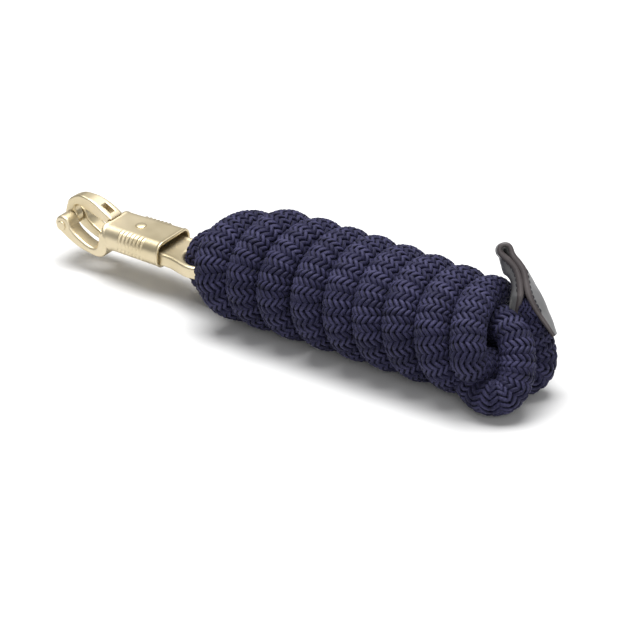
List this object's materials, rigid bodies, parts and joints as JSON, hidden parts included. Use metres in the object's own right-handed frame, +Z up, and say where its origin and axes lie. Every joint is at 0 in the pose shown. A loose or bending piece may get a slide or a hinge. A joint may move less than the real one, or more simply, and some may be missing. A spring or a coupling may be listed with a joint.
{
  "type": "lead rope",
  "caption": "Horse lead rope of braided cord wrapped into a hank, with a metal slide-sleeve snap at one end and a folded leather tab at the other.",
  "frame": {"origin": "centre of the bounding box's bottom face, on the surface that the hank lies on", "axes": "+X along the hank from the snap towards the leather tab, +Y across the hank, +Z up"},
  "size_m": [0.3156, 0.076, 0.0848],
  "materials": {
    "snap_metal": "satin pale brass plating",
    "spring_steel": "plain wire",
    "rope": "braided navy cord",
    "tab_leather": "smooth dark grey leather",
    "thread": "waxed thread"
  },
  "bodies": {
    "rope_and_snap": {"snap_body": "snap_metal", "hinge_rivet": "snap_metal", "rope_eye": "rope", "rope_hank": "rope", "rope_end_knot": "rope", "rope_tail": "rope", "end_tab": "tab_leather", "tab_stitching": "thread", "sleeve_spring": "spring_steel"},
    "gate": {"snap_gate": "snap_metal"},
    "sleeve": {"sleeve": "snap_metal", "sleeve_pin": "snap_metal"}
  },
  "joints": [
    {"name": "sleeve_slide", "type": "slide", "parent": "rope_and_snap", "child": "sleeve", "axis": [1, 0, 0], "range_m": [0, 0.01], "stiffness_N_per_m": 600, "springref_m": -0.004, "deforming": ["sleeve_spring"]},
    {"name": "gate_hinge", "type": "hinge", "parent": "rope_and_snap", "child": "gate", "pos_m": [-0.1534, 0, 0.024], "axis": [0, -1, 0], "range_deg": [0, 80]}
  ],
  "couplings": [
    {"joint": "gate_hinge", "follows": "sleeve_slide", "rad_per_m": 139.63}
  ]
}
